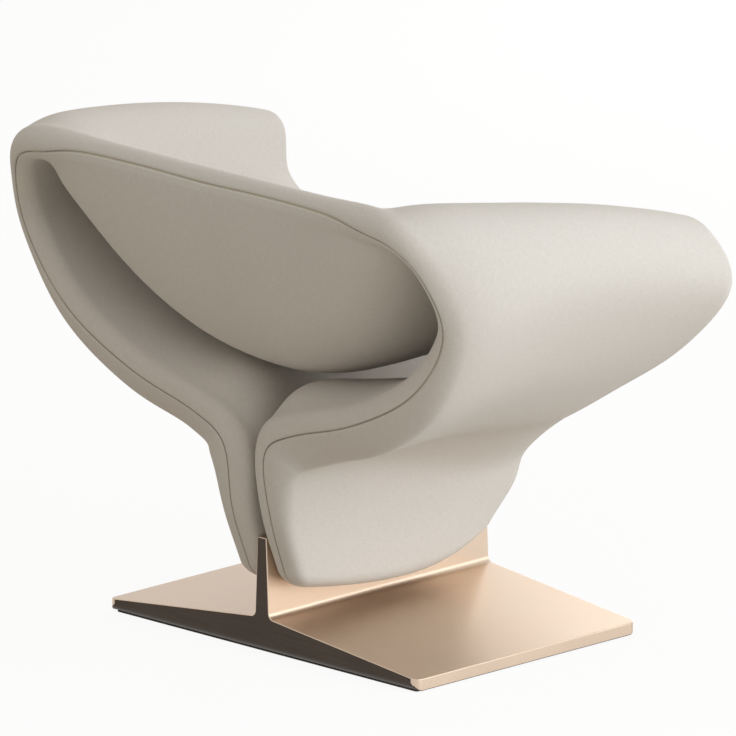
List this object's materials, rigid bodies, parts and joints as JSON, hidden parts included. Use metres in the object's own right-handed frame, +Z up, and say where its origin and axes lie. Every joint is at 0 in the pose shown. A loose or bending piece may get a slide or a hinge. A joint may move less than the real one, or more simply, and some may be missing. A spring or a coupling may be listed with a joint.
{
  "type": "upholstered lounge chair",
  "caption": "Sculptural lounge chair: one wide padded ribbon, looped into arms, back and seat, clamped on the upright fin of a flat metal pedestal.",
  "frame": {"origin": "on the floor, under the middle of the pedestal's plate", "axes": "+Z up; the sitter faces -Y; +X is the sitter's left; X = 0 is the chair's mirror plane"},
  "size_m": [0.9518, 0.6335, 0.7315],
  "materials": {
    "cover_fabric": "fine woven upholstery fabric, warm off-white, matt",
    "champagne_metal": "satin champagne-bronze, long edges bevelled bright",
    "frame_steel": "black powder coat",
    "zinc_steel": "zinc-plated",
    "webbing": "elastic woven webbing",
    "foam": "moulded polyurethane foam",
    "pad_felt": "dense wool felt"
  },
  "bodies": {
    "root": {"floor_pad": "pad_felt", "pedestal": "champagne_metal", "clamp_plate_left": "frame_steel", "clamp_plate_right": "frame_steel", "spacer_sleeves": "zinc_steel", "clamp_bolts": "zinc_steel", "clamp_washers": "zinc_steel", "clamp_nuts": "zinc_steel", "rear_frame_tube": "frame_steel", "front_frame_tube": "frame_steel", "cross_tubes_left": "frame_steel", "cross_tubes_right": "frame_steel", "seat_webbing": "webbing", "arm_webbing_left": "webbing", "arm_webbing_right": "webbing", "leg_foam_left": "foam", "leg_foam_right": "foam", "arm_foam_left": "foam", "arm_foam_right": "foam", "seat_back_foam": "foam", "outer_cover": "cover_fabric", "inner_cover": "cover_fabric"}
  },
  "joints": []
}
